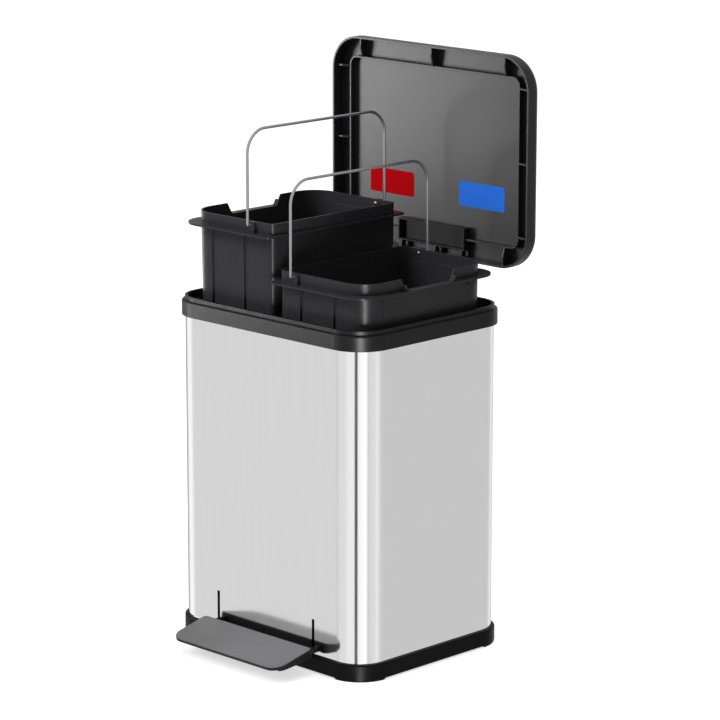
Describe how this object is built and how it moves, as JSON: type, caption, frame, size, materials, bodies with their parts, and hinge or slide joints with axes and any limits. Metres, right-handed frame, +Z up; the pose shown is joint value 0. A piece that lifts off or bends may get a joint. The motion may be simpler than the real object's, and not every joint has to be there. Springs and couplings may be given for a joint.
{
  "type": "double recycling bin",
  "caption": "Pedal bin with a steel housing, a hinged lid with two colour labels, and two lift-out buckets with wire handles, shown open and partly lifted.",
  "frame": {"origin": "on the floor under the middle of the whole open bin, pedal and lid included; the middle of the steel housing is 9.9 mm behind it", "axes": "+X to the right along the front, +Y to the back, +Z up"},
  "size_m": [0.308, 0.3456, 0.665],
  "materials": {
    "polished_steel": "polished",
    "base_plastic": "moulded",
    "rim_plastic": "moulded",
    "housing_plastic": "moulded",
    "plain_steel": "plain",
    "black_steel": "black paint",
    "pedal_plastic": "moulded",
    "pedal_cover": "satin",
    "lid_plastic": "moulded",
    "bracket_plastic": "moulded",
    "red_label": "smooth film",
    "blue_label": "smooth film",
    "bucket_plastic": "moulded",
    "bright_wire": "bright"
  },
  "bodies": {
    "housing": {"steel_body": "polished_steel", "base": "base_plastic", "top_rim": "rim_plastic", "hinge_housing": "housing_plastic", "hinge_pin": "plain_steel", "pin_clips": "plain_steel", "housing_screws": "plain_steel", "pedal_axle": "plain_steel", "rod_guide": "housing_plastic"},
    "pedal": {"pedal_frame": "black_steel", "pedal_plate": "pedal_plastic", "pedal_cover": "pedal_cover"},
    "push_rod": {"push_rod": "plain_steel", "rod_foot": "housing_plastic"},
    "lid": {"lid": "lid_plastic", "lid_bracket": "bracket_plastic", "bracket_screws": "plain_steel", "red_label": "red_label", "blue_label": "blue_label"},
    "left_bucket": {"bucket_left": "bucket_plastic"},
    "right_bucket": {"bucket_right": "bucket_plastic"},
    "left_handle": {"bail_left": "bright_wire"},
    "right_handle": {"bail_right": "bright_wire"}
  },
  "joints": [
    {"name": "lid_hinge", "type": "hinge", "parent": "housing", "child": "lid", "pos_m": [0, 0.1586, 0.3958], "axis": [1, 0, 0], "range_deg": [0, 15]},
    {"name": "pedal_hinge", "type": "hinge", "parent": "housing", "child": "pedal", "pos_m": [0, 0.0049, 0.014], "axis": [1, 0, 0], "range_deg": [-14.2, 0]},
    {"name": "rod_slide", "type": "slide", "parent": "housing", "child": "push_rod", "axis": [0, 0, 1], "range_m": [-0.0281, 0]},
    {"name": "left_bucket_slide", "type": "slide", "parent": "housing", "child": "left_bucket", "axis": [0, 0, -1], "range_m": [-0.33, 0.098]},
    {"name": "right_bucket_slide", "type": "slide", "parent": "housing", "child": "right_bucket", "axis": [0, 0, -1], "range_m": [-0.38, 0.0495]},
    {"name": "left_handle_hinge", "type": "hinge", "parent": "left_bucket", "child": "left_handle", "pos_m": [-0.034, 0.0099, 0.4856], "axis": [0, -1, 0], "range_deg": [-15, 90]},
    {"name": "right_handle_hinge", "type": "hinge", "parent": "right_bucket", "child": "right_handle", "pos_m": [0.034, 0.0099, 0.4371], "axis": [0, 1, 0], "range_deg": [-15, 90]}
  ],
  "couplings": [
    {"joint": "pedal_hinge", "follows": "lid_hinge", "ratio": -0.15731},
    {"joint": "rod_slide", "follows": "lid_hinge", "m_per_rad": -0.017825}
  ]
}
